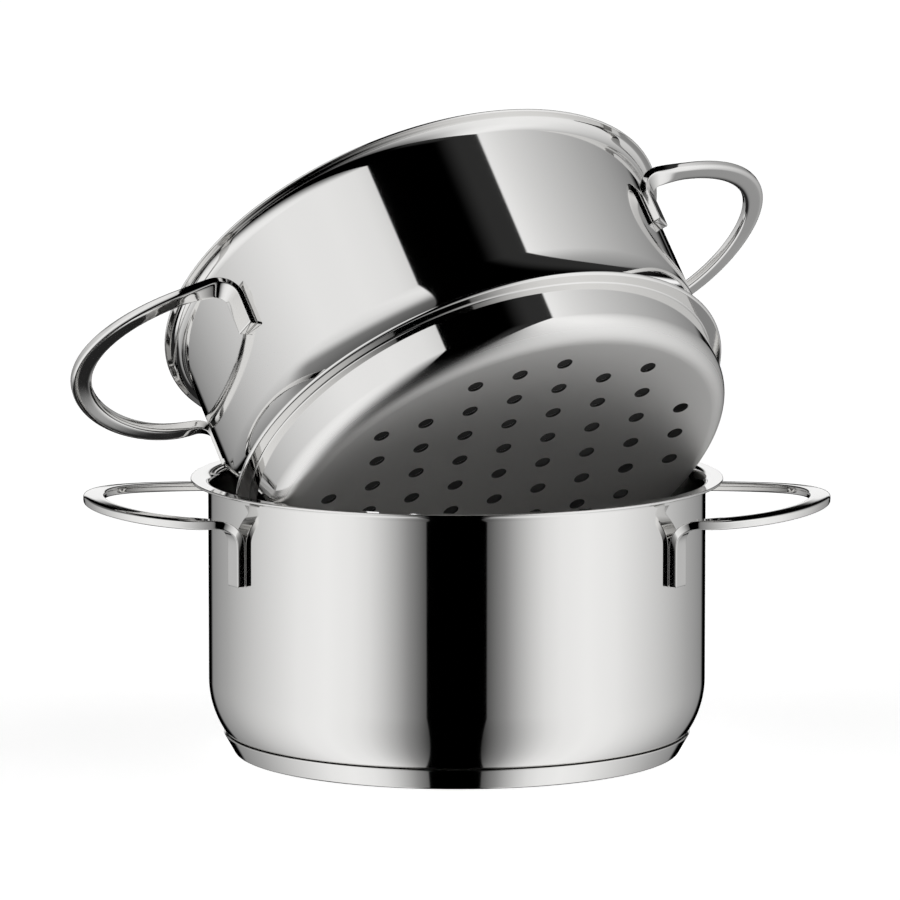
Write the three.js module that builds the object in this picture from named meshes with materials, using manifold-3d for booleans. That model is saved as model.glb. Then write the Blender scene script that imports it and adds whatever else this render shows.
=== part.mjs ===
// Steamer pot: a polished steel pot on an encapsulated base, with a perforated steamer insert that
// leans in its mouth. Millimetres, +Z up, origin at the centre of the base's underside, and the pot's
// two handles lie along X.
import * as THREE from "three";
import { mergeVertices } from "three/addons/utils/BufferGeometryUtils.js";
import Module from "manifold-3d";

const wasm = await Module();
wasm.setup();

// Both shells
const sheet = 1;
const lipBend = 2.5;
const seatGap = 0.3;
const turnSteps = 60;

// Pot shell
const potInnerDiameter = 180;
const potHeight = 101.5;
const potLipReach = 6.4;
const cornerRise = 20.8;
const cornerRadius = 33.5;
const heelRadius = 4.6;

// Encapsulated base
const capHeight = 7.6;
const capClearance = 0.5;
const capSheet = 0.8;
const capEdge = 1.2;
const coreThickness = 5.7;

// Steamer insert, in its own frame with the foot at zero height
const insertHeight = 95;
const insertClearance = 0.8;
const insertOverhang = 1.8;
const insertLipReach = 4.6;
const footCorner = 8;
const footDome = 2.7;
const ledgeHeight = 21.7;
const ledgeReach = 2.3;
const ledgeEdge = 0.9;
const flareRise = 11;
const holeDiameter = 5.5;
const holePitch = 17;
const holeRing = 4.3;
const holeSides = 8;

// How the insert leans in the pot's mouth
const leanAngle = 43.2;
const leanDirection = 120.2;
const leanSpin = 13;
const footSlide = 32;
const leanGap = 0.6;

// Loop handles, bent from flat bar, with a curved seat ground into each leg
const barWidth = 7.6;
const barThickness = 3.4;
const barCrown = 2;
const barEdge = 1;
const handleHalfSpan = 46;
const handleBend = 7;
const bendRoundness = 0.5523;
const handleSteps = 48;
const potSeatWidth = 2.5;
const potHandleLength = 51.6;
const potHandleRise = 2.3;
const potLoopFullness = 0.56;
const potLoopDrop = 10.2;
const potLegLength = 23.3;
const insertSeatWidth = 3.5;
const insertHandleLength = 50.2;
const insertHandleRise = 4.6;
const insertLoopFullness = 0.52;
const insertLoopDrop = 13.9;
const insertLegLength = 20.6;

// Sizes that follow from the ones above
const potInnerRadius = potInnerDiameter / 2;
const potRadius = potInnerRadius + sheet;
const potLipRadius = potRadius + potLipReach;
const floorHeight = capSheet + coreThickness;
const heelHeight = floorHeight + heelRadius;
const cornerHeight = floorHeight + cornerRise;
const cornerCentre = potRadius - cornerRadius;
const cornerTurn = Math.asin((cornerRise - heelRadius) / (cornerRadius - heelRadius));
const heelCentre = cornerCentre + (cornerRadius - heelRadius) * Math.cos(cornerTurn);
const baseRadius = heelCentre;
const stepRadius = potInnerRadius - insertClearance;
const insertRadius = potInnerRadius + insertOverhang;
const insertLipRadius = insertRadius + insertLipReach;
const ledgeRadius = insertRadius + ledgeReach;

const potHandleSizes = {
  wallRadius: potRadius,
  seatWidth: potSeatWidth,
  length: potHandleLength,
  rise: potHandleRise,
  fullness: potLoopFullness,
  legLength: potLegLength,
  loopHeight: potHeight - potLoopDrop,
};
const insertHandleSizes = {
  wallRadius: insertRadius,
  seatWidth: insertSeatWidth,
  length: insertHandleLength,
  rise: insertHandleRise,
  fullness: insertLoopFullness,
  legLength: insertLegLength,
  loopHeight: insertHeight - insertLoopDrop,
};

const steel = { color: 0xc9cacb, metalness: 1 };
const mirrorFinish = () => new THREE.MeshStandardMaterial({ ...steel, roughness: 0.08 });
const aluminium = () =>
  new THREE.MeshStandardMaterial({ color: 0xb4b6b8, metalness: 1, roughness: 0.5 });

const point = (r, z) => new THREE.Vector2(r, z);

// Points along an arc of a profile, between two angles in degrees.
function arc(centreR, centreZ, radius, from, to, steps) {
  return Array.from({ length: steps + 1 }, (_, i) => {
    const angle = THREE.MathUtils.degToRad(from + ((to - from) * i) / steps);
    return point(centreR + radius * Math.cos(angle), centreZ + radius * Math.sin(angle));
  });
}

// A profile of radius and height turned round the Z axis.
function revolve(profile) {
  return new THREE.LatheGeometry(profile, turnSteps).rotateX(Math.PI / 2);
}

// A closed geometry as a solid that can be joined and cut.
function solidOf(geometry) {
  const bare = geometry.clone();
  bare.deleteAttribute("normal");
  bare.deleteAttribute("uv");
  const merged = mergeVertices(bare);
  return new wasm.Manifold(
    new wasm.Mesh({
      numProp: 3,
      vertProperties: merged.attributes.position.array,
      triVerts: new Uint32Array(merged.index.array),
    }),
  );
}

function geometryOf(solid) {
  const mesh = solid.getMesh();
  const geometry = new THREE.BufferGeometry();
  geometry.setAttribute("position", new THREE.BufferAttribute(mesh.vertProperties, 3));
  geometry.setIndex(new THREE.BufferAttribute(mesh.triVerts, 1));
  geometry.computeVertexNormals();
  return geometry;
}

// The flared lip that both shells end in, from the outside of the wall over to its inside.
function lipProfile(wallRadius, lipRadius, height) {
  const bendCentre = wallRadius + lipBend;
  const under = height - sheet;
  const edge = sheet / 2;
  return [
    ...arc(bendCentre, under - lipBend, lipBend, 180, 90, 2),
    ...arc(lipRadius - edge, height - edge, edge, -90, 90, 2),
    ...arc(bendCentre, under - lipBend, lipBend + sheet, 90, 180, 3),
  ];
}

// Deep-drawn pot: a flat floor, a tight heel, a wide corner, a straight wall and the lip.
function potProfile() {
  const joint = -THREE.MathUtils.radToDeg(cornerTurn);
  return [
    point(0, floorHeight),
    ...arc(heelCentre, heelHeight, heelRadius, -90, joint, 3),
    ...arc(cornerCentre, cornerHeight, cornerRadius, joint, 0, 5).slice(1),
    ...lipProfile(potRadius, potLipRadius, potHeight),
    ...arc(cornerCentre, cornerHeight, cornerRadius - sheet, 0, joint, 4),
    ...arc(heelCentre, heelHeight, heelRadius - sheet, joint, -90, 3).slice(1),
    point(0, floorHeight + sheet),
  ];
}

// Outside radius of the pot at a height within its heel and corner.
function cornerReach(height) {
  const inHeel = height < heelHeight - heelRadius * Math.sin(cornerTurn);
  if (inHeel) return heelCentre + Math.sqrt(heelRadius ** 2 - (heelHeight - height) ** 2);
  return cornerCentre + Math.sqrt(cornerRadius ** 2 - (cornerHeight - height) ** 2);
}

// Pressed steel capsule under the pot, with a rounded lower edge and a band that flares out to clear
// the pot's heel.
function capProfile() {
  const topRadius = cornerReach(capHeight) + capClearance + capSheet;
  const lean = THREE.MathUtils.radToDeg(Math.atan2(topRadius - baseRadius, capHeight));
  const edgeCentre = baseRadius - capEdge * Math.tan(THREE.MathUtils.degToRad(45 - lean / 2));
  return [
    point(0, 0),
    ...arc(edgeCentre, capEdge, capEdge, -90, -lean, 3),
    point(topRadius, capHeight),
    point(topRadius - capSheet, capHeight),
    point(edgeCentre, capSheet),
    point(0, capSheet),
  ];
}

// Aluminium heat disc that fills the capsule.
function coreProfile() {
  const radius = baseRadius - capEdge - seatGap;
  return [
    point(0, capSheet),
    point(radius, capSheet),
    point(radius, floorHeight),
    point(0, floorHeight),
  ];
}

// Foot of the insert, domed a little upwards, at a given offset above its lower face.
function footCurve(offset) {
  const rim = stepRadius - footCorner;
  return [0, 1 / 3, 2 / 3, 1].map((share) =>
    point(rim * share, offset + footDome * (1 - share ** 2)),
  );
}

// Insert: domed foot, narrow step that drops into the pot, ledge that rests on the pot's lip, wide wall
// and the same lip as the pot's.
function insertProfile() {
  const flareTurn = 2 * Math.atan2(ledgeReach, flareRise);
  const flareRadius = flareRise / Math.sin(flareTurn);
  const flareDegrees = THREE.MathUtils.radToDeg(flareTurn);
  const flareCentre = insertRadius + flareRadius;
  const flareHeight = ledgeHeight + ledgeEdge + flareRise;
  const footCentre = stepRadius - footCorner;
  const shelf = ledgeHeight + sheet;
  const outside = [
    ...footCurve(0),
    ...arc(footCentre, footCorner, footCorner, -90, 0, 4).slice(1),
    point(stepRadius, ledgeHeight),
    ...arc(ledgeRadius - ledgeEdge, ledgeHeight + ledgeEdge, ledgeEdge, -90, 0, 2),
    ...arc(flareCentre, flareHeight, flareRadius, 180 + flareDegrees, 180, 3).slice(1),
    ...lipProfile(insertRadius, insertLipRadius, insertHeight),
  ];
  const inside = [
    ...arc(flareCentre, flareHeight, flareRadius + sheet, 180, 180 + flareDegrees, 3),
    point(ledgeRadius - sheet - ledgeEdge, shelf),
    point(stepRadius - sheet, shelf),
    ...arc(footCentre, footCorner, footCorner - sheet, 0, -90, 4),
    ...footCurve(sheet).reverse().slice(1),
  ];
  return [...outside, ...inside];
}

// One drill through the foot for each point of a square grid that lies inside the pattern's circle.
function footDrills() {
  const depth = 4 * (footDome + sheet);
  const reach = Math.ceil(holeRing);
  const drills = [];
  for (let i = -reach; i <= reach; i += 1) {
    for (let j = -reach; j <= reach; j += 1) {
      if (Math.hypot(i, j) > holeRing) continue;
      const drill = new THREE.CylinderGeometry(holeDiameter / 2, holeDiameter / 2, depth, holeSides);
      drill.rotateX(Math.PI / 2).translate(i * holePitch, j * holePitch, 0);
      drills.push(solidOf(drill));
    }
  }
  return drills.reduce((all, drill) => all.add(drill));
}

// Centre line of a handle: up one leg, round a bend, out and back along the loop, and down the other leg.
// The handle points along X from a round wall, whose radius sets how far out the legs stand.
function handlePath({ wallRadius, seatWidth, length, rise, fullness, legLength, loopHeight }) {
  const seatReach = handleHalfSpan - barWidth / 2 + seatWidth;
  const legX = Math.sqrt(wallRadius ** 2 - seatReach ** 2) + seatGap + barThickness / 2;
  const loopX = legX + handleBend;
  const tipX = legX + length;
  const legBottom = loopHeight - legLength;
  const bendStart = loopHeight - handleBend;
  const roundness = bendRoundness * handleBend;
  const tipHeight = loopHeight + rise;
  const at = (x, side, z) => new THREE.Vector3(x, side * handleHalfSpan, z);
  const bend = (side) => [
    at(legX, side, bendStart),
    at(legX, side, bendStart + roundness),
    at(loopX - roundness, side, loopHeight),
    at(loopX, side, loopHeight),
  ];
  const half = (side) => [
    at(loopX, side, loopHeight),
    at(loopX + fullness * (tipX - loopX), side, loopHeight),
    at(tipX, side * fullness, tipHeight),
    at(tipX, 0, tipHeight),
  ];
  const path = new THREE.CurvePath();
  path.add(new THREE.LineCurve3(at(legX, 1, legBottom), at(legX, 1, bendStart)));
  path.add(new THREE.CubicBezierCurve3(...bend(1)));
  path.add(new THREE.CubicBezierCurve3(...half(1)));
  path.add(new THREE.CubicBezierCurve3(...half(-1).reverse()));
  path.add(new THREE.CubicBezierCurve3(...bend(-1).reverse()));
  path.add(new THREE.LineCurve3(at(legX, -1, bendStart), at(legX, -1, legBottom)));
  return path;
}

// Section of the bar, crowned on both faces and eased at both edges.
function barSection() {
  const x = barWidth / 2;
  const y = barThickness / 2;
  const crown = x - barCrown;
  const edge = y - barEdge;
  return new THREE.Shape([
    point(x, edge),
    point(crown, y),
    point(-crown, y),
    point(-x, edge),
    point(-x, -edge),
    point(-crown, -y),
    point(crown, -y),
    point(x, -edge),
  ]);
}

// The bar swept along a handle's centre line.
function barSweep(sizes, steps) {
  return new THREE.ExtrudeGeometry(barSection(), {
    steps,
    bevelEnabled: false,
    extrudePath: handlePath(sizes),
  });
}

// A handle: the swept bar with its legs cut back to the curve of the wall.
function handleGeometry(sizes) {
  const seatRadius = sizes.wallRadius + seatGap;
  const seatHeight = 4 * sizes.loopHeight;
  const wall = new THREE.CylinderGeometry(seatRadius, seatRadius, seatHeight, 2 * turnSteps);
  const bar = solidOf(barSweep(sizes, handleSteps));
  return geometryOf(bar.subtract(solidOf(wall.rotateX(Math.PI / 2))));
}

function addPiece(group, name, geometry, material) {
  const piece = new THREE.Mesh(geometry, material);
  piece.name = name;
  group.add(piece);
  return piece;
}

function addHandles(group, name, geometry) {
  addPiece(group, `${name}_handle_right`, geometry, mirrorFinish());
  const left = addPiece(group, `${name}_handle_left`, geometry, mirrorFinish());
  left.rotation.z = Math.PI;
}

// Height of the pot's lip at a distance from the axis, or far below where there is nothing to rest on.
function lipHeight(distance) {
  if (distance < potInnerRadius || distance > potLipRadius) return -Infinity;
  const inset = Math.max(potRadius + lipBend - distance, 0);
  return potHeight - (lipBend + sheet) + Math.sqrt((lipBend + sheet) ** 2 - inset ** 2);
}

// Points spread over the insert and its handles, close enough to find where it would touch the lip.
function insertSkin() {
  const profile = new THREE.Path(insertProfile()).getSpacedPoints(300);
  const shell = new THREE.LatheGeometry(profile, 2 * turnSteps).rotateX(Math.PI / 2);
  const handle = barSweep(insertHandleSizes, 6 * handleSteps);
  const turned = handle.clone().rotateZ(Math.PI);
  return [shell, handle, turned].map((geometry) => geometry.attributes.position);
}

// The insert leans as in use and is lowered until it would touch the pot's lip.
function leanInsert(insert) {
  const direction = THREE.MathUtils.degToRad(leanDirection);
  const towards = new THREE.Vector3(Math.cos(direction), Math.sin(direction), 0);
  const leanAxis = new THREE.Vector3(-towards.y, towards.x, 0);
  const spin = new THREE.Quaternion();
  spin.setFromAxisAngle(new THREE.Vector3(0, 0, 1), THREE.MathUtils.degToRad(leanSpin));
  insert.quaternion.setFromAxisAngle(leanAxis, THREE.MathUtils.degToRad(leanAngle)).multiply(spin);
  insert.position.copy(towards).multiplyScalar(-footSlide);
  insert.updateMatrix();
  const spot = new THREE.Vector3();
  let lift = 0;
  for (const positions of insertSkin()) {
    for (let i = 0; i < positions.count; i += 1) {
      spot.fromBufferAttribute(positions, i).applyMatrix4(insert.matrix);
      lift = Math.max(lift, lipHeight(Math.hypot(spot.x, spot.y)) - spot.z);
    }
  }
  insert.position.z = lift + leanGap;
}

const pot = new THREE.Group();
addPiece(pot, "pot_body", revolve(potProfile()), mirrorFinish());
addPiece(pot, "base_cap", revolve(capProfile()), mirrorFinish());
addPiece(pot, "base_core", revolve(coreProfile()), aluminium());
addHandles(pot, "pot", handleGeometry(potHandleSizes));

const insert = new THREE.Group();
const drilled = solidOf(revolve(insertProfile())).subtract(footDrills());
addPiece(insert, "insert_body", geometryOf(drilled), mirrorFinish());
addHandles(insert, "insert", handleGeometry(insertHandleSizes));
leanInsert(insert);

const steamerPot = new THREE.Group();
steamerPot.add(pot, insert);

export default steamerPot;
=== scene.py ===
import math
from typing import NamedTuple

import bpy
from mathutils import Matrix, Quaternion, Vector
from mathutils.geometry import delaunay_2d_cdt


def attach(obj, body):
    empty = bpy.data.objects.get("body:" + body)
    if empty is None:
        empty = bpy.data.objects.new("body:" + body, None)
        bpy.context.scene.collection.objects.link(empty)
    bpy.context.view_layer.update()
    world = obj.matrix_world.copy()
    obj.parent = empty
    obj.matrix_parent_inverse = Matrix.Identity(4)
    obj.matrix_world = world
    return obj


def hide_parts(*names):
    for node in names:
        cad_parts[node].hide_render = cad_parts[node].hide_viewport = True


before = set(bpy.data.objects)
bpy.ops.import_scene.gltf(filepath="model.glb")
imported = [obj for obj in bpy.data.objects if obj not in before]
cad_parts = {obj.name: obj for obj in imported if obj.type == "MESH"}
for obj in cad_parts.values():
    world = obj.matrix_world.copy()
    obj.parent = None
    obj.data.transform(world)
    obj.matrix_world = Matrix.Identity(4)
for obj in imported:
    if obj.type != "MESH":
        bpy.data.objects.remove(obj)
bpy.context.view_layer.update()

MM = 0.001

# How fine the meshes are
TURN_STEPS = 256
LIP_STEPS = 18
HOLE_SIDES = 28
BEND_STEPS = 40
LOOP_STEPS = 120
BAR_STEPS = 220
BAR_SIDES = 80
BAR_END_STEPS = 5
FOOT_SPACING = 2.4
FOOT_ROW_SHARE = 0.866

# Sizes in millimetres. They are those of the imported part, apart from the insert's wall, flare and
# lip and the path of the bars, which follow the photograph more closely.
SHEET = 1.0

# Pot. A lip's bend is given as its reach outward and upward.
POT_INNER = 90.0
POT_RADIUS = POT_INNER + SHEET
POT_HEIGHT = 101.5
POT_LIP = POT_RADIUS + 6.4
POT_BEND = (2.5, 2.5)
CAP_SHEET = 0.8
FLOOR_HEIGHT = CAP_SHEET + 5.7
CORNER_RISE = 20.8
CORNER_RADIUS = 33.5
HEEL_RADIUS = 4.6
HEEL_HEIGHT = FLOOR_HEIGHT + HEEL_RADIUS
CORNER_HEIGHT = FLOOR_HEIGHT + CORNER_RISE
CORNER_CENTRE = POT_RADIUS - CORNER_RADIUS
CORNER_TURN = math.asin((CORNER_RISE - HEEL_RADIUS) / (CORNER_RADIUS - HEEL_RADIUS))
HEEL_CENTRE = CORNER_CENTRE + (CORNER_RADIUS - HEEL_RADIUS) * math.cos(CORNER_TURN)

# Capsule of the base
CAP_HEIGHT = 7.6
CAP_CLEARANCE = 0.5
CAP_EDGE = 1.2
CAP_EASE = 0.25
CAP_FILLET = 1.0
CAP_FILLET_INSET = 0.4
CAP_INSIDE_POLISH = 0.3
HEEL_AT_CAP = HEEL_CENTRE + math.sqrt(HEEL_RADIUS**2 - (HEEL_HEIGHT - CAP_HEIGHT) ** 2)
CAP_TOP = HEEL_AT_CAP + CAP_CLEARANCE + CAP_SHEET

# Steamer insert
INSERT_HEIGHT = 95.0
STEP_RADIUS = POT_INNER - 0.8
INSERT_RADIUS = 90.6
INSERT_LIP = INSERT_RADIUS + 5.8
INSERT_BEND = (4.0, 4.4)
FOOT_CORNER = 8.0
FOOT_CENTRE = STEP_RADIUS - FOOT_CORNER
FOOT_DOME = 2.7
FOOT_JOIN = 78.0
FOOT_RADII = (FOOT_JOIN, 78.8, 79.6, 80.4)
LEDGE_HEIGHT = 21.7
LEDGE_REACH = 3.5
LEDGE_RADIUS = INSERT_RADIUS + LEDGE_REACH
LEDGE_EDGE = 0.9
LEDGE_EASE = 0.6
FLARE_RISE = 13.5
FLARE_TURN = 2 * math.atan2(LEDGE_REACH, FLARE_RISE)
HOLE_RADIUS = 2.75
HOLE_PITCH = 17.0
HOLE_RING = 4.3
HOLE_EASE = 0.28
HOLE_MARGIN = 0.9
JOIN_MARGIN = 1.4
INSERT_PLACE = Vector((16.096638, -27.656794, 104.168647))
INSERT_TURN = Quaternion((0.9237997, -0.3370779, -0.1479668, 0.1052537))

# Finish of the insert: the first points of its corner that are still satin and how many it takes to
# become polished. Then painted shade on the insert: the points of its lip's inner face that are
# painted dark, the side of its inside that is painted darkest, where that darkening starts and how
# far round it spreads, and the share of the steel's colour that is left there.
SATIN_POINTS = 2
POLISHING_POINTS = 15
SHADE_PAINTED_LIP_POINTS = 10
BELOW_LIP_BEND = 0.3
PAINTED_SHADE_SIDE = Vector((0.3, 0.954))
PAINTED_SHADE_FROM = -0.2
PAINTED_SHADE_OVER = 0.6
PAINTED_SHADE_SHARE = 0.06

# Bars of the handles, crowned on the loops and nearly square on the legs
BAR_WIDTH = 7.6
BAR_THICKNESS = 3.5
BAR_CROWN = 4.2
LEG_THICKNESS = 3.0
LEG_CROWN = 16.0
BAR_END_EASE = 0.6
WELD_GAP = 0.06
TWIST_LENGTH = 26.0
HANDLE_BEND = 7.0
BEND_ROUNDNESS = 0.5523


class Handle(NamedTuple):
    wall: float  # outer radius of the wall that carries it
    span: float  # from the middle to each leg
    swell: float  # how much further apart than the legs the loop starts
    bulge: float  # how far it heads outward from there, or inward below zero
    tip: float  # from the wall's axis to the far end of the loop
    rise: float  # of the far end above the loop's start
    fullness: float  # from pointed to square
    leg: float  # length of a leg with its bend
    height: float  # of the loop's start
    tilt: float  # outward tilt of the loop's top, in radians


POT_HANDLE = Handle(
    wall=POT_RADIUS,
    span=47.3,
    swell=1.5,
    bulge=-4.0,
    tip=132.9,
    rise=2.8,
    fullness=0.56,
    leg=22.8,
    height=POT_HEIGHT - 10.7,
    tilt=0.028,
)
INSERT_HANDLE = Handle(
    wall=INSERT_RADIUS,
    span=46.0,
    swell=0.0,
    bulge=0.0,
    tip=131.8,
    rise=4.9,
    fullness=0.52,
    leg=20.2,
    height=INSERT_HEIGHT - 14.4,
    tilt=0.0,
)

pot_place = Matrix.Identity(4)
insert_place = Matrix.Translation(INSERT_PLACE) @ INSERT_TURN.to_matrix().to_4x4()
half_turn = Matrix.Rotation(math.pi, 4, "Z")


class Mesh:
    """Points with their own smooth normals, polish and painted shade, gathered before the mesh is
    made.
    """

    def __init__(self):
        self.points = []
        self.normals = []
        self.polish = []
        self.faces = []

    def add(self, point, normal, polish):
        self.points.append(Vector(point))
        self.normals.append(Vector(normal).normalized())
        self.polish.append(polish)
        return len(self.points) - 1

    def make(self, name, place, material, body, replaced, slot):
        mesh = bpy.data.meshes.new(name)
        spin = place.to_3x3()
        mesh.from_pydata([tuple((place @ p) * MM) for p in self.points], [], self.faces)
        mesh.shade_smooth()
        own = mesh.attributes.new("own", "FLOAT_VECTOR", "POINT")
        own.data.foreach_set("vector", [c for p in self.points for c in p])
        finish = mesh.attributes.new("polish", "FLOAT", "POINT")
        finish.data.foreach_set("value", [max(p, 0.0) for p in self.polish])
        # painted shade: the inside attribute says how far the steel's colour is painted dark at
        # each point
        painted_shade = mesh.attributes.new("inside", "FLOAT", "POINT")
        painted_shade.data.foreach_set("value", [max(-p, 0.0) for p in self.polish])
        mesh.normals_split_custom_set_from_vertices([tuple(spin @ n) for n in self.normals])
        mesh.validate(clean_customdata=False)
        mesh.materials.append(material)
        piece = bpy.data.objects.new(name, mesh)
        bpy.context.scene.collection.objects.link(piece)
        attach(piece, body)
        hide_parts(replaced)


def smooth(value):
    share = min(max(value, 0.0), 1.0)
    return share * share * (3 - 2 * share)


# Profiles: lists of (radius, height, normal radius, normal height, polish), where a polish below
# zero marks painted shade: steel painted dark in the holes and on the side of the insert's inside
# that is seen through them
def arc(centre_r, centre_z, radius, start, end, steps, polish=1.0):
    side = 1 if end > start else -1
    points = []
    for i in range(steps + 1):
        a = math.radians(start + (end - start) * i / steps)
        c, s = math.cos(a), math.sin(a)
        points.append((centre_r + radius * c, centre_z + radius * s, side * c, side * s, polish))
    return points


def lip(wall, reach, height, bend):
    """Flared lip, from the outside of the wall, over its edge and back to the inside."""
    out, up = bend
    edge = SHEET / 2
    under = []
    for i in range(LIP_STEPS + 1):
        a = math.pi / 2 * i / LIP_STEPS
        nr, nz = math.cos(a) / out, -math.sin(a) / up
        length = math.hypot(nr, nz)
        r = wall + out * (1 - math.cos(a))
        z = height - SHEET - up * (1 - math.sin(a))
        under.append((r, z, nr / length, nz / length, 1.0))
    over = [(r - SHEET * nr, z - SHEET * nz, -nr, -nz, 1.0) for r, z, nr, nz, _ in reversed(under)]
    return [*under, *arc(reach - edge, height - edge, edge, -90, 90, 10), *over]


def turn(mesh, profile):
    """Turns a profile round the Z axis and returns its rings of point numbers."""
    rings = []
    for r, z, nr, nz, polish in profile:
        if r < 1e-6:
            rings.append([mesh.add((0, 0, z), (0, 0, nz), polish)])
            continue
        ring = []
        for i in range(TURN_STEPS):
            a = 2 * math.pi * i / TURN_STEPS
            c, s = math.cos(a), math.sin(a)
            ring.append(mesh.add((r * c, r * s, z), (nr * c, nr * s, nz), polish))
        rings.append(ring)
    for low, high in zip(rings, rings[1:]):
        for i in range(TURN_STEPS):
            j = (i + 1) % TURN_STEPS
            if len(low) == 1:
                mesh.faces.append((low[0], high[j], high[i]))
            elif len(high) == 1:
                mesh.faces.append((low[i], low[j], high[0]))
            else:
                mesh.faces.append((low[i], low[j], high[j], high[i]))
    return rings


def pot_body():
    joint = -math.degrees(CORNER_TURN)
    outside = [
        (0, FLOOR_HEIGHT, 0, -1, 1.0),
        *arc(HEEL_CENTRE, HEEL_HEIGHT, HEEL_RADIUS, -90, joint, 12),
        *arc(CORNER_CENTRE, CORNER_HEIGHT, CORNER_RADIUS, joint, 0, 28)[1:],
        *lip(POT_RADIUS, POT_LIP, POT_HEIGHT, POT_BEND),
    ]
    inside = [
        *arc(CORNER_CENTRE, CORNER_HEIGHT, CORNER_RADIUS - SHEET, 0, joint, 24, 0.0),
        *arc(HEEL_CENTRE, HEEL_HEIGHT, HEEL_RADIUS - SHEET, joint, -90, 10, 0.0)[1:],
        (0, FLOOR_HEIGHT + SHEET, 0, 1, 0.0),
    ]
    mesh = Mesh()
    turn(mesh, outside + inside)
    return mesh


def base_cap():
    lean = math.atan2(CAP_TOP - HEEL_CENTRE, CAP_HEIGHT)
    edge_centre = HEEL_CENTRE - CAP_EDGE * math.tan(math.pi / 4 - lean / 2)
    fillet_centre = edge_centre - CAP_FILLET_INSET
    tilt = -math.degrees(lean)
    # the band's top is eased on both sides, inside the corner where its face would meet the top
    rim = CAP_TOP - CAP_EASE * math.tan(math.pi / 4 + lean / 2)
    inner = CAP_TOP - CAP_SHEET + CAP_EASE * math.tan(math.pi / 4 - lean / 2)
    eased = CAP_HEIGHT - CAP_EASE
    fillet_height = CAP_SHEET + CAP_FILLET
    profile = [
        (0, 0, 0, -1, 1.0),
        *arc(edge_centre, CAP_EDGE, CAP_EDGE, -90, tilt, 12),
        *arc(rim, eased, CAP_EASE, tilt, 90, 8),
        *arc(inner, eased, CAP_EASE, 90, 180 + tilt, 6),
        *arc(fillet_centre, fillet_height, CAP_FILLET, tilt, -90, 6, CAP_INSIDE_POLISH),
        (0, CAP_SHEET, 0, 1, CAP_INSIDE_POLISH),
    ]
    mesh = Mesh()
    turn(mesh, profile)
    return mesh


def foot_rise(r):
    share = min(r / FOOT_CENTRE, 1.0)
    return FOOT_DOME * (1 - share * share) ** 1.5


def foot_slope(r):
    share = min(r / FOOT_CENTRE, 1.0)
    return -3 * FOOT_DOME * share * math.sqrt(1 - share * share) / FOOT_CENTRE


def foot_line(radii, offset, side):
    """Part of the foot's curve outside the drilled area, on its lower (-1) or upper (1) face."""
    points = []
    for r in radii:
        slope = foot_slope(r)
        length = math.hypot(1, slope)
        points.append((r, offset + foot_rise(r), -side * slope / length, side / length, 0.0))
    return points


def drill_centres():
    reach = math.ceil(HOLE_RING)
    steps = range(-reach, reach + 1)
    grid = [(i, j) for i in steps for j in steps if math.hypot(i, j) <= HOLE_RING]
    return [(i * HOLE_PITCH, j * HOLE_PITCH) for i, j in grid]


def from_hole(spot):
    """Distance from the middle of the nearest hole, without end where the grid has none."""
    x, y = spot
    near_x = round(x / HOLE_PITCH) * HOLE_PITCH
    near_y = round(y / HOLE_PITCH) * HOLE_PITCH
    if math.hypot(near_x, near_y) > HOLE_RING * HOLE_PITCH:
        return math.inf
    return math.hypot(x - near_x, y - near_y)


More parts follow.
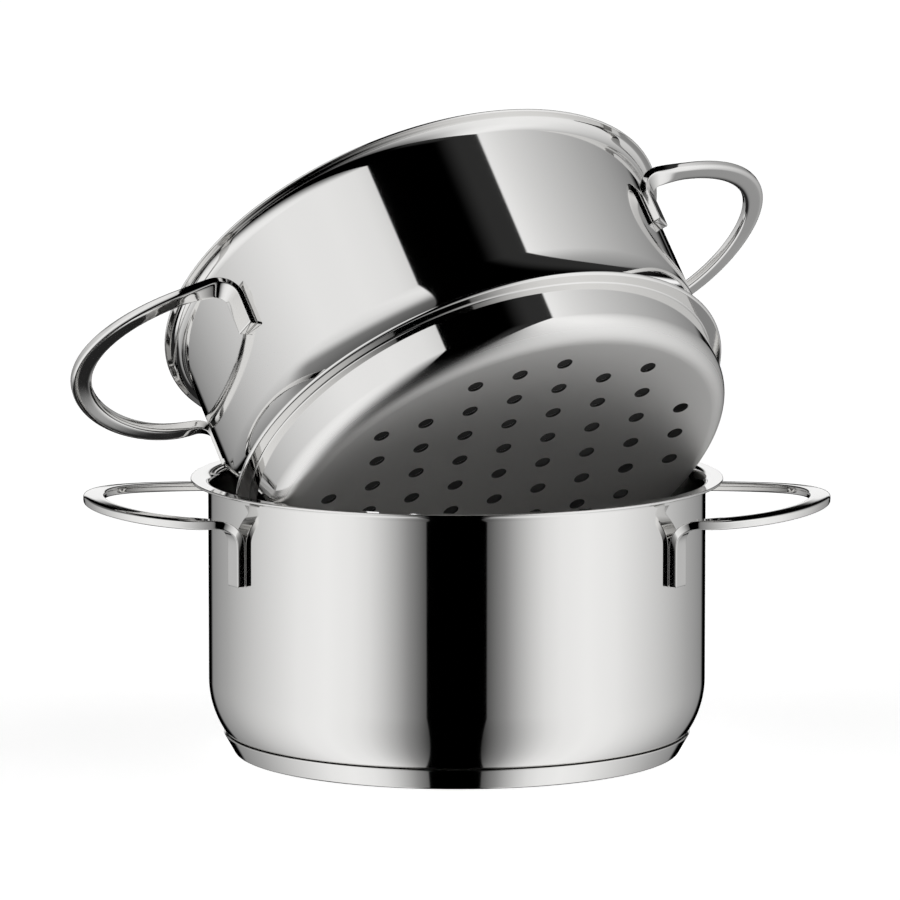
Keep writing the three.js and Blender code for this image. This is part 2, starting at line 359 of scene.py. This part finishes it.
def drilled_foot(mesh, lower_ring, upper_ring):
    """The domed, perforated middle of the foot, joined to the rings of the turned shell."""
    centres = drill_centres()
    angles = [2 * math.pi * k / HOLE_SIDES for k in range(HOLE_SIDES)]
    around = [(math.cos(a), math.sin(a)) for a in angles]
    mouth = HOLE_RADIUS + HOLE_EASE
    flat = [Vector((mesh.points[i].x, mesh.points[i].y)) for i in lower_ring]
    edges = [(i, (i + 1) % TURN_STEPS) for i in range(TURN_STEPS)]
    for cx, cy in centres:
        first = len(flat)
        flat += [Vector((cx + mouth * c, cy + mouth * s)) for c, s in around]
        edges += [(first + k, first + (k + 1) % HOLE_SIDES) for k in range(HOLE_SIDES)]
    row_step = FOOT_SPACING * FOOT_ROW_SHARE
    for row in range(int(2 * FOOT_JOIN / row_step) + 1):
        y = -FOOT_JOIN + (row + 0.5) * FOOT_SPACING * FOOT_ROW_SHARE
        for col in range(int(2 * FOOT_JOIN / FOOT_SPACING) + 1):
            x = -FOOT_JOIN + (col + 0.5 * (row % 2)) * FOOT_SPACING
            if from_hole((x, y)) < mouth + HOLE_MARGIN:
                continue
            if math.hypot(x, y) < FOOT_JOIN - JOIN_MARGIN:
                flat.append(Vector((x, y)))
    spots, _, triangles, origins, _, _ = delaunay_2d_cdt(flat, edges, [], 0, 1e-5)
    where = {}
    for number, sources in enumerate(origins):
        for source in sources:
            where[source] = number
    lower, upper = {}, {}
    for i in range(TURN_STEPS):
        lower[where[i]] = lower_ring[i]
        upper[where[i]] = upper_ring[i]
    for number, spot in enumerate(spots):
        if number in lower:
            continue
        r = spot.length
        out = spot / r if r > 1e-9 else Vector((0, 0))
        lean = foot_slope(r) * out
        z = foot_rise(r)
        lower[number] = mesh.add((*spot, z), (*lean, -1), 0.0)
        upper[number] = mesh.add((*spot, z + SHEET), (*-lean, 1), 0.0)
    for a, b, c in triangles:
        if from_hole((spots[a] + spots[b] + spots[c]) / 3) < mouth:
            continue
        mesh.faces.append((lower[a], lower[c], lower[b]))
        mesh.faces.append((upper[a], upper[b], upper[c]))
    bevel = HOLE_EASE * (1 - math.sqrt(0.5))
    for hole, (cx, cy) in enumerate(centres):
        first = TURN_STEPS + hole * HOLE_SIDES
        loops = [[lower[where[first + k]] for k in range(HOLE_SIDES)]]
        level = foot_rise(math.hypot(cx, cy))
        steps = [
            (HOLE_RADIUS + bevel, level + bevel, -0.7),
            (HOLE_RADIUS, level + HOLE_EASE, 0.0),
            (HOLE_RADIUS, level + SHEET - HOLE_EASE, 0.0),
            (HOLE_RADIUS + bevel, level + SHEET - bevel, 0.7),
        ]
        # painted shade: the hole walls are marked so that their steel is painted nearly black
        for reach, z, tilt in steps:
            loop = []
            for c, s in around:
                loop.append(mesh.add((cx + reach * c, cy + reach * s, z), (-c, -s, tilt), -1.0))
            loops.append(loop)
        loops.append([upper[where[first + k]] for k in range(HOLE_SIDES)])
        for below, above in zip(loops, loops[1:]):
            for k in range(HOLE_SIDES):
                n = (k + 1) % HOLE_SIDES
                mesh.faces.append((below[n], below[k], above[k], above[n]))


def insert_body():
    turn_deg = math.degrees(FLARE_TURN)
    bead_r = LEDGE_RADIUS - LEDGE_EDGE
    bead_z = LEDGE_HEIGHT + LEDGE_EDGE
    flare_from = bead_r + LEDGE_EDGE * math.cos(FLARE_TURN) - INSERT_RADIUS
    flare = flare_from / (1 - math.cos(FLARE_TURN))
    flare_r = INSERT_RADIUS + flare
    flare_z = bead_z + (LEDGE_EDGE + flare) * math.sin(FLARE_TURN)
    ease = LEDGE_EASE
    shelf = LEDGE_HEIGHT + SHEET
    nook_z = shelf + ease
    nook_r = flare_r - math.sqrt((flare + SHEET + ease) ** 2 - (flare_z - nook_z) ** 2)
    nook_turn = math.degrees(math.atan2(flare_z - nook_z, flare_r - nook_r))
    wall_top = INSERT_HEIGHT - SHEET - INSERT_BEND[1] - BELOW_LIP_BEND
    corner = []
    for i, point in enumerate(arc(FOOT_CENTRE, FOOT_CORNER, FOOT_CORNER, -90, 0, 20)):
        polish = min(max((i - SATIN_POINTS) / POLISHING_POINTS, 0.0), 1.0)
        corner.append((*point[:4], polish))
    rim = lip(INSERT_RADIUS, INSERT_LIP, INSERT_HEIGHT, INSERT_BEND)
    outside = [
        *foot_line(FOOT_RADII, 0, -1),
        *corner,
        *arc(STEP_RADIUS + ease, LEDGE_HEIGHT - ease, ease, 180, 90, 6),
        *arc(bead_r, bead_z, LEDGE_EDGE, -90, turn_deg, 12),
        *arc(flare_r, flare_z, flare, 180 + turn_deg, 180, 16)[1:],
        # the last points of the lip, on its inner face, are marked for painted shade like the
        # inside
        *rim[:-SHADE_PAINTED_LIP_POINTS],
        *((*point[:4], -1.0) for point in rim[-SHADE_PAINTED_LIP_POINTS:]),
    ]
    inside = [
        (INSERT_RADIUS - SHEET, wall_top, -1, 0, -1.0),
        *arc(flare_r, flare_z, flare + SHEET, 180, 180 + nook_turn, 14, -1.0),
        *arc(nook_r, nook_z, ease, nook_turn, -90, 6, -1.0)[1:],
        *arc(STEP_RADIUS - SHEET + ease, shelf - ease, ease, 90, 180, 6, -1.0),
        *arc(FOOT_CENTRE, FOOT_CORNER, FOOT_CORNER - SHEET, 0, -90, 18, -1.0),
        *foot_line(FOOT_RADII[::-1], SHEET, 1),
    ]
    mesh = Mesh()
    rings = turn(mesh, outside + inside)
    # painted shade: the inside and the lip's inner face are painted darker towards one side, the
    # side seen through the holes
    for i, point in enumerate(mesh.points):
        if mesh.polish[i] < 0:
            facing = point.xy.normalized().dot(PAINTED_SHADE_SIDE)
            mesh.polish[i] = -smooth((facing - PAINTED_SHADE_FROM) / PAINTED_SHADE_OVER)
    drilled_foot(mesh, rings[0], rings[-1])
    return mesh


def cubic(a, b, c, d, steps):
    points = []
    for i in range(1, steps + 1):
        t = i / steps
        u = 1 - t
        points.append(a * u**3 + b * 3 * u * u * t + c * 3 * u * t * t + d * t**3)
    return points


def handle_path(sizes):
    """Centre line from the foot of one leg to the other, and the slope at which the loop starts."""
    leg_x = math.sqrt((sizes.wall + WELD_GAP + LEG_THICKNESS / 2) ** 2 - sizes.span**2)
    loop_x = leg_x + HANDLE_BEND
    bend_start = sizes.height - HANDLE_BEND
    roundness = BEND_ROUNDNESS * HANDLE_BEND
    reach = sizes.fullness * (sizes.tip - loop_x)
    splay = sizes.bulge / reach
    end = sizes.height + sizes.rise
    aside = Vector((0, sizes.swell, 0))

    def at(x, side, z):
        return Vector((x, side * sizes.span, z))

    half = [at(leg_x, 1, sizes.height - sizes.leg), at(leg_x, 1, bend_start)]
    half += cubic(
        half[-1],
        at(leg_x, 1, bend_start + roundness),
        at(loop_x - roundness, 1, sizes.height) + aside - Vector((0, splay * roundness, 0)),
        at(loop_x, 1, sizes.height) + aside,
        BEND_STEPS,
    )
    half += cubic(
        half[-1],
        at(loop_x + reach, 1, sizes.height) + aside + Vector((0, sizes.bulge, 0)),
        at(sizes.tip, sizes.fullness, end),
        at(sizes.tip, 0, end),
        LOOP_STEPS,
    )
    mirrored = [Vector((p.x, -p.y, p.z)) for p in half[-2::-1]]
    return half + mirrored, splay


def even_steps(points, steps):
    lengths = [0.0]
    for a, b in zip(points, points[1:]):
        lengths.append(lengths[-1] + (b - a).length)
    spaced = []
    k = 0
    for i in range(steps + 1):
        wanted = lengths[-1] * i / steps
        while k < len(points) - 2 and lengths[k + 1] < wanted:
            k += 1
        share = (wanted - lengths[k]) / (lengths[k + 1] - lengths[k])
        spaced.append(points[k].lerp(points[k + 1], share))
    return spaced


def bar_section(crown, thickness):
    """Crowned outline of the bar as (across, through, normal across, normal through)."""
    a, b = BAR_WIDTH / 2, thickness / 2
    outline = []
    for i in range(BAR_SIDES):
        turned = 2 * math.pi * (i + 0.5) / BAR_SIDES
        c, s = math.cos(turned), math.sin(turned)
        x = math.copysign(abs(c) ** (2 / crown), c)
        y = math.copysign(abs(s) ** (2 / crown), s)
        nx = math.copysign(abs(x) ** (crown - 1), c) / a
        ny = math.copysign(abs(y) ** (crown - 1), s) / b
        length = math.hypot(nx, ny)
        outline.append((a * x, b * y, nx / length, ny / length))
    return outline


def bar_frames(sizes, path, splay):
    """Centre, direction, width, depth and outline of the bar at each step of its path."""
    last = len(path) - 1
    step = (path[1] - path[0]).length
    straight = sizes.leg - 1.5 * HANDLE_BEND
    lean = math.asin(sizes.span / (sizes.wall + LEG_THICKNESS / 2))
    level = -math.atan(splay) - sizes.tilt
    across = Vector((0, -1, 0))
    frames = []
    for i, spot in enumerate(path):
        tangent = (path[min(i + 1, last)] - path[max(i - 1, 0)]).normalized()
        across = (across - tangent * across.dot(tangent)).normalized()
        depth = tangent.cross(across)
        # each leg lies flat on the round wall, and the bar turns to its tilt before the loop
        flat = 1 - smooth((step * min(i, last - i) - straight) / TWIST_LENGTH)
        roll = lean * flat + level * (1 - flat)
        c, s = math.cos(roll), math.sin(roll)
        crown = BAR_CROWN + (LEG_CROWN - BAR_CROWN) * flat
        section = bar_section(crown, BAR_THICKNESS + (LEG_THICKNESS - BAR_THICKNESS) * flat)
        frames.append((spot, tangent, across * c + depth * s, depth * c - across * s, section))
    return frames


def bar_stations(step):
    """Where the outlines go as (step, inset, shift along, tip of the normal), with eased ends."""
    first_end, last_end = [], []
    for k in range(BAR_END_STEPS):
        a = math.pi / 2 * k / BAR_END_STEPS
        inset = BAR_END_EASE * (1 - math.sin(a))
        along = BAR_END_EASE * (1 - math.cos(a))
        first_end.append((0, inset, along, -math.cos(a)))
        last_end.insert(0, (BAR_STEPS, inset, -along, math.cos(a)))
    first_full = 1 + int(BAR_END_EASE / step)
    between = [(i, 0.0, 0.0, 0.0) for i in range(first_full, BAR_STEPS + 1 - first_full)]
    return first_end + between + last_end


def handle(sizes):
    points, splay = handle_path(sizes)
    path = even_steps(points, BAR_STEPS)
    frames = bar_frames(sizes, path, splay)
    mesh = Mesh()
    rings = []
    seat = sizes.wall + WELD_GAP
    for i, inset, along, tip in bar_stations((path[1] - path[0]).length):
        spot, tangent, width, depth, section = frames[i]
        ring = []
        for x, y, nx, ny in section:
            side = width * nx + depth * ny
            point = spot + width * (x - inset * nx) + depth * (y - inset * ny) + tangent * along
            normal = side * math.sqrt(1 - tip * tip) + tangent * tip
            if math.hypot(point.x, point.y) < seat:
                point.x = math.sqrt(seat**2 - point.y**2)
            ring.append(mesh.add(point, normal, 1.0))
        rings.append(ring)
    for low, high in zip(rings, rings[1:]):
        for k in range(BAR_SIDES):
            n = (k + 1) % BAR_SIDES
            mesh.faces.append((low[k], low[n], high[n], high[k]))
    mesh.faces.append(tuple(reversed(rings[0])))
    mesh.faces.append(tuple(rings[-1]))
    return mesh


# Shader nodes
def node(tree, kind, **values):
    made = tree.nodes.new(kind)
    for key, value in values.items():
        setattr(made, key, value)
    return made


def feed(tree, socket, value):
    """Sets a socket to a number, or links it to another node's output."""
    if isinstance(value, (int, float)):
        socket.default_value = value
    else:
        tree.links.new(value, socket)


def calc(tree, operation, *values):
    made = node(tree, "ShaderNodeMath", operation=operation)
    for socket, value in zip(made.inputs, values):
        feed(tree, socket, value)
    return made.outputs[0]


def spread(tree, value, low, high):
    """A noise's value, spread from low to high."""
    made = node(tree, "ShaderNodeMapRange")
    made.inputs["To Min"].default_value = low
    made.inputs["To Max"].default_value = high
    tree.links.new(value, made.inputs["Value"])
    return made.outputs[0]


def noise(tree, place, scale, detail):
    made = node(tree, "ShaderNodeTexNoise")
    made.inputs["Scale"].default_value = scale
    made.inputs["Detail"].default_value = detail
    tree.links.new(place, made.inputs["Vector"])
    return made.outputs["Fac"]


# Materials
STEEL_COLOUR = (0.80, 0.795, 0.785)
SATIN_SPREAD = 0.05
MIRROR_SPREAD = 0.4
SPUN_SCALE = 1.6
SPUN_DETAIL = 4.0
CLOUDY_SCALE = 0.05
CLOUDY_DETAIL = 3.0
ALUMINIUM_COLOUR = (0.72, 0.73, 0.74)
ALUMINIUM_GRAIN = 400.0
ALUMINIUM_ROUGHNESS = (0.4, 0.6)


def steel(name, satin, mirror):
    """Stainless steel that goes from satin to mirror with the mesh's polish, with its colour
    painted dark as painted shade where the mesh's inside attribute is set.
    """
    material = bpy.data.materials.new(name)
    material.use_nodes = True
    tree = material.node_tree
    link = tree.links.new
    shader = tree.nodes["Principled BSDF"]
    shader.inputs["Metallic"].default_value = 1.0
    # painted shade: the base colour is painted dark, down to a small share of the steel's colour,
    # where the inside attribute is set
    painted_shade = node(tree, "ShaderNodeAttribute", attribute_name="inside")
    painted_shade_mix = node(tree, "ShaderNodeMix", data_type="RGBA")
    painted_shade_mix.inputs["A"].default_value = (*STEEL_COLOUR, 1)
    painted_shade_mix.inputs["B"].default_value = (*(PAINTED_SHADE_SHARE * c for c in STEEL_COLOUR), 1)
    link(painted_shade.outputs["Fac"], painted_shade_mix.inputs["Factor"])
    link(painted_shade_mix.outputs["Result"], shader.inputs["Base Color"])

    # satin has rings as from spinning, and the mirror has faint clouds
    own = node(tree, "ShaderNodeAttribute", attribute_name="own").outputs["Vector"]
    split = node(tree, "ShaderNodeSeparateXYZ")
    link(own, split.inputs[0])
    squares = [calc(tree, "POWER", split.outputs[axis], 2.0) for axis in "XY"]
    rings = node(tree, "ShaderNodeCombineXYZ")
    link(calc(tree, "SQRT", calc(tree, "ADD", *squares)), rings.inputs["X"])
    link(split.outputs["Z"], rings.inputs["Y"])
    spun = noise(tree, rings.outputs[0], SPUN_SCALE, SPUN_DETAIL)
    cloudy = noise(tree, own, CLOUDY_SCALE, CLOUDY_DETAIL)
    fine = spread(tree, spun, satin - SATIN_SPREAD, satin + SATIN_SPREAD)
    clear = spread(tree, cloudy, mirror * (1 - MIRROR_SPREAD), mirror * (1 + MIRROR_SPREAD))
    polish = node(tree, "ShaderNodeAttribute", attribute_name="polish")
    blend = node(tree, "ShaderNodeMix")
    link(polish.outputs["Fac"], blend.inputs["Factor"])
    link(fine, blend.inputs["A"])
    link(clear, blend.inputs["B"])
    link(blend.outputs["Result"], shader.inputs["Roughness"])
    return material


def aluminium(name):
    material = bpy.data.materials.new(name)
    material.use_nodes = True
    tree = material.node_tree
    shader = tree.nodes["Principled BSDF"]
    shader.inputs["Base Color"].default_value = (*ALUMINIUM_COLOUR, 1)
    shader.inputs["Metallic"].default_value = 1.0
    grain = node(tree, "ShaderNodeTexNoise")
    grain.inputs["Scale"].default_value = ALUMINIUM_GRAIN
    roughness = spread(tree, grain.outputs["Fac"], *ALUMINIUM_ROUGHNESS)
    tree.links.new(roughness, shader.inputs["Roughness"])
    return material


shell_steel = steel("shell_steel", satin=0.64, mirror=0.045)
bar_steel = steel("bar_steel", satin=0.34, mirror=0.06)
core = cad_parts["base_core"]
core.data.materials.clear()
core.data.materials.append(aluminium("core_aluminium"))

# Pieces
pot_body().make("pot_shell_piece", pot_place, shell_steel, "pot", "pot_body", "pot_shell")
base_cap().make("base_cap_piece", pot_place, shell_steel, "pot", "base_cap", "base_capsule")
insert_body().make(
    "insert_shell_piece", insert_place, shell_steel, "insert", "insert_body", "insert_shell"
)
bars = (
    ("pot", handle(POT_HANDLE), pot_place),
    ("insert", handle(INSERT_HANDLE), insert_place),
)
for side, spin in (("right", Matrix.Identity(4)), ("left", half_turn)):
    for body, bar, place in bars:
        bar.make(
            f"{body}_bar_{side}",
            place @ spin,
            bar_steel,
            body,
            f"{body}_handle_{side}",
            f"{body}_handles",
        )

# Floor
FLOOR_REACH = 12.0
FLOOR_DROP = 0.0002
FLOOR_COLOUR = (0.9, 0.9, 0.9)
FLOOR_GLOW = 0.7
floor_mesh = bpy.data.meshes.new("floor")
corners = [(-1, -1), (1, -1), (1, 1), (-1, 1)]
floor_points = [(x * FLOOR_REACH, y * FLOOR_REACH, 0) for x, y in corners]
floor_mesh.from_pydata(floor_points, [], [(0, 1, 2, 3)])
floor = bpy.data.objects.new("floor", floor_mesh)
bpy.context.scene.collection.objects.link(floor)
floor.location.z = -FLOOR_DROP
floor_paint = bpy.data.materials.new("floor_paint")
floor_paint.use_nodes = True
floor_shader = floor_paint.node_tree.nodes["Principled BSDF"]
floor_shader.inputs["Base Color"].default_value = (*FLOOR_COLOUR, 1)
floor_shader.inputs["Roughness"].default_value = 0.9
floor_shader.inputs["Specular IOR Level"].default_value = 0.0
floor_shader.inputs["Emission Color"].default_value = (1, 1, 1, 1)
floor_shader.inputs["Emission Strength"].default_value = FLOOR_GLOW
floor_mesh.materials.append(floor_paint)
floor.visible_glossy = False

# Studio, by direction alone: two large soft panels at the sides, a dark slot between them in front
# and overhead, and a white backdrop. The camera sees plain white behind the object.
PANEL_LEVELS = (  # from straight in front (0) round either side to straight behind (1)
    (0.06, 0.03),
    (0.122, 0.30),
    (0.155, 0.50),
    (0.189, 0.69),
    (0.225, 0.86),
    (0.27, 0.97),
    (0.345, 1.03),
    (0.433, 0.97),
    (0.6, 0.69),
    (0.74, 0.44),
    (0.87, 0.27),
    (0.893, 0.0),
)
FLOOR_LINE = -0.14
FLOOR_SPREAD = 0.3
SLOT_HALF_WIDTH = 0.25
SLOT_LEAN = 0.1
SLOT_LEAN_RIGHT = 0.022
SLOT_SOFTNESS = 0.006
SLOT_SOFTNESS_RIGHT = 0.014
BACK_LEFT_SHADE = 0.62
HIGH_LEFT_SHADE = 0.07
HIGH_RIGHT_LEVEL = 0.03
GROUND_LEVEL = 0.02
GROUND_LEVEL_RIGHT = 0.32

world = bpy.data.worlds.new("studio")
bpy.context.scene.world = world
world.use_nodes = True
sky = world.node_tree
sky.nodes.clear()
wire = sky.links.new


def times(first, *others):
    for other in others:
        first = calc(sky, "MULTIPLY", first, other)
    return first


def plus(first, second):
    return calc(sky, "ADD", first, second)


def minus(first, second):
    return calc(sky, "SUBTRACT", first, second)


def size_of(value):
    return calc(sky, "ABSOLUTE", value)


def rise(value, start, end):
    """A soft edge from 0 at start to 1 at end, both parts of a direction of length 1."""
    made = node(sky, "ShaderNodeMapRange", interpolation_type="SMOOTHSTEP")
    wire(value, made.inputs["Value"])
    feed(sky, made.inputs["From Min"], start)
    feed(sky, made.inputs["From Max"], end)
    return made.outputs[0]


heading = node(sky, "ShaderNodeTexCoord")
parts = node(sky, "ShaderNodeSeparateXYZ")
wire(heading.outputs["Generated"], parts.inputs[0])
east, north, height = parts.outputs

# side panels
below = calc(sky, "MAXIMUM", minus(FLOOR_LINE, height), 0.0)
south = minus(times(below, FLOOR_SPREAD), north)
behind = size_of(calc(sky, "ARCTAN2", east, south))
panel = node(sky, "ShaderNodeValToRGB")
wire(calc(sky, "DIVIDE", behind, math.pi), panel.inputs[0])
panel.color_ramp.interpolation = "LINEAR"
stops = panel.color_ramp.elements
while len(stops) < len(PANEL_LEVELS):
    stops.new(1.0)
for stop, (position, level) in zip(stops, PANEL_LEVELS):
    stop.position = position
    stop.color = (level, level, level, 1)

# dark slot between them, wider and softer at its right edge higher up
right_side = calc(sky, "GREATER_THAN", east, 0.0)
slot_lean = plus(times(right_side, SLOT_LEAN_RIGHT), SLOT_LEAN)
slot_edge = plus(times(height, slot_lean), SLOT_HALF_WIDTH)
right_soft = times(right_side, times(height, SLOT_SOFTNESS_RIGHT))
slot_end = plus(slot_edge, calc(sky, "MAXIMUM", right_soft, SLOT_SOFTNESS))
slot = rise(size_of(east), slot_edge, slot_end)

# the left is dimmer behind and high up
back_left = times(times(rise(north, 0.0, 0.3), rise(height, 0.2, 0.4)), rise(east, 0.25, 0.0))
high_left = times(rise(height, 0.3, 0.7), rise(east, 0.0, -0.2))
shaded = minus(1.0, times(back_left, BACK_LEFT_SHADE))
dimmed = minus(shaded, times(high_left, HIGH_LEFT_SHADE))
sides = times(panel.outputs[0], slot, dimmed)

# the ground behind is dark, and less so on the right
low_back = times(rise(height, -0.6, -0.75), rise(north, 0.2, 0.33), rise(size_of(east), 0.54, 0.46))
sides = times(sides, minus(1.0, low_back))
ground = plus(times(rise(east, 0.25, 0.42), GROUND_LEVEL_RIGHT), GROUND_LEVEL)
high_right = times(rise(height, 0.15, 0.5), rise(east, 0.1, 0.26))
fill = plus(times(high_right, HIGH_RIGHT_LEVEL), times(low_back, ground))

# white backdrop behind the object, above the horizon
low_band = times(rise(height, 0.0, 0.06), rise(height, 0.4, 0.25))
backdrop = times(low_band, rise(north, 0.955, 0.975))
studio_light = node(sky, "ShaderNodeBackground")
studio_light.inputs["Strength"].default_value = 1.0
wire(calc(sky, "MAXIMUM", plus(sides, fill), backdrop), studio_light.inputs["Color"])
white = node(sky, "ShaderNodeBackground")
white.inputs["Color"].default_value = (1, 1, 1, 1)
white.inputs["Strength"].default_value = 1.0
seen = node(sky, "ShaderNodeLightPath")
choose = node(sky, "ShaderNodeMixShader")
wire(seen.outputs["Is Camera Ray"], choose.inputs[0])
wire(studio_light.outputs[0], choose.inputs[1])
wire(white.outputs[0], choose.inputs[2])
sky_out = node(sky, "ShaderNodeOutputWorld")
wire(choose.outputs[0], sky_out.inputs["Surface"])

# Camera
IMAGE_PIXELS = 900.0
FOCAL_PIXELS = 7784.517
SENSOR_WIDTH = 36.0
CAMERA_EAST = -0.002519
CAMERA_AIM_HEIGHT = 0.111050
CAMERA_DISTANCE = 2.84706
CAMERA_TILT = math.radians(8.05083)
camera_data = bpy.data.cameras.new("camera")
camera_data.sensor_width = SENSOR_WIDTH
camera_data.lens = FOCAL_PIXELS * SENSOR_WIDTH / IMAGE_PIXELS
camera_data.clip_end = 50.0
camera = bpy.data.objects.new("camera", camera_data)
bpy.context.scene.collection.objects.link(camera)
camera.location = (
    CAMERA_EAST,
    -CAMERA_DISTANCE * math.cos(CAMERA_TILT),
    CAMERA_AIM_HEIGHT + CAMERA_DISTANCE * math.sin(CAMERA_TILT),
)
camera.rotation_euler = (math.pi / 2 - CAMERA_TILT, 0, 0)
bpy.context.scene.camera = camera
bpy.context.scene.view_settings.view_transform = "Standard"
